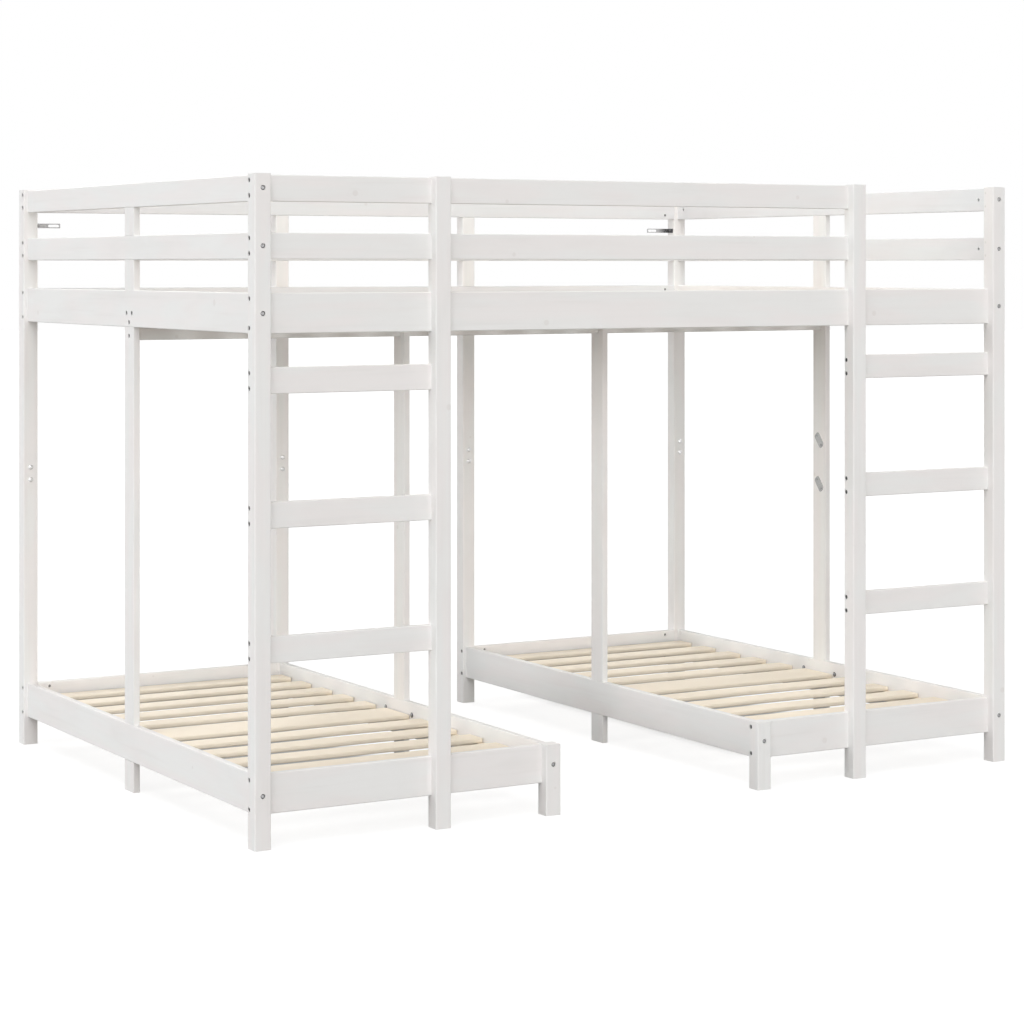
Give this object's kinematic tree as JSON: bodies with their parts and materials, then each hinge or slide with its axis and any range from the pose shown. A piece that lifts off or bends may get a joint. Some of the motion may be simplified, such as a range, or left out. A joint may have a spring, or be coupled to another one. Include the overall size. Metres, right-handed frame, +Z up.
{
  "type": "triple bunk bed",
  "caption": "Wide bunk bed frame in whitewashed pine: side-by-side lower beds with an open bay between, under a full-width guarded deck reached by front ladders, with slatted bases.",
  "frame": {"origin": "centre of the footprint, on the floor", "axes": "+X to the right end (seen from the ladders), +Y to the back, +Z up"},
  "size_m": [2.732, 2.005, 1.92],
  "materials": {
    "whitewashed_pine": "thin matt white stain, the grain just showing",
    "bare_pine": "planed, untreated",
    "zinc": "bright zinc plated",
    "dark_steel": "black phosphated",
    "white_plastic": "plain moulded caps"
  },
  "bodies": {
    "root": {"post_front_left": "whitewashed_pine", "ladder_post_left": "whitewashed_pine", "leg_front_left": "whitewashed_pine", "leg_front_right": "whitewashed_pine", "ladder_post_right": "whitewashed_pine", "post_front_right": "whitewashed_pine", "post_back_left_lower": "whitewashed_pine", "post_back_left_upper": "whitewashed_pine", "post_mid_left_lower": "whitewashed_pine", "post_mid_left_upper": "whitewashed_pine", "post_mid_right_lower": "whitewashed_pine", "post_mid_right_upper": "whitewashed_pine", "post_back_right_lower": "whitewashed_pine", "post_back_right_upper": "whitewashed_pine", "plank_outer_left_lower": "whitewashed_pine", "plank_outer_left_upper": "whitewashed_pine", "plank_inner_left": "whitewashed_pine", "plank_inner_right": "whitewashed_pine", "plank_outer_right_lower": "whitewashed_pine", "plank_outer_right_upper": "whitewashed_pine", "plank_feet": "whitewashed_pine", "guard_stiles": "whitewashed_pine", "left_bed_rail_front": "whitewashed_pine", "left_bed_rail_back": "whitewashed_pine", "left_bed_rail_outer": "whitewashed_pine", "left_bed_rail_inner": "whitewashed_pine", "left_bed_slats": "bare_pine", "right_bed_rail_front": "whitewashed_pine", "right_bed_rail_back": "whitewashed_pine", "right_bed_rail_outer": "whitewashed_pine", "right_bed_rail_inner": "whitewashed_pine", "right_bed_slats": "bare_pine", "deck_rail_front": "whitewashed_pine", "deck_rail_back": "whitewashed_pine", "deck_rail_left": "whitewashed_pine", "deck_rail_right": "whitewashed_pine", "deck_beam": "whitewashed_pine", "deck_slats": "bare_pine", "bed_ledgers": "bare_pine", "deck_ledgers": "bare_pine", "guard_front_lower": "whitewashed_pine", "guard_front_upper": "whitewashed_pine", "guard_back_lower": "whitewashed_pine", "guard_back_upper": "whitewashed_pine", "guard_left_lower": "whitewashed_pine", "guard_left_upper": "whitewashed_pine", "guard_right_lower": "whitewashed_pine", "guard_right_upper": "whitewashed_pine", "rung_left_1": "whitewashed_pine", "rung_left_2": "whitewashed_pine", "rung_left_3": "whitewashed_pine", "rung_right_1": "whitewashed_pine", "rung_right_2": "whitewashed_pine", "rung_right_3": "whitewashed_pine", "bolts": "zinc", "nuts": "zinc", "screws": "dark_steel", "plugs": "white_plastic", "dowels": "bare_pine", "wall_straps": "zinc"}
  },
  "joints": []
}
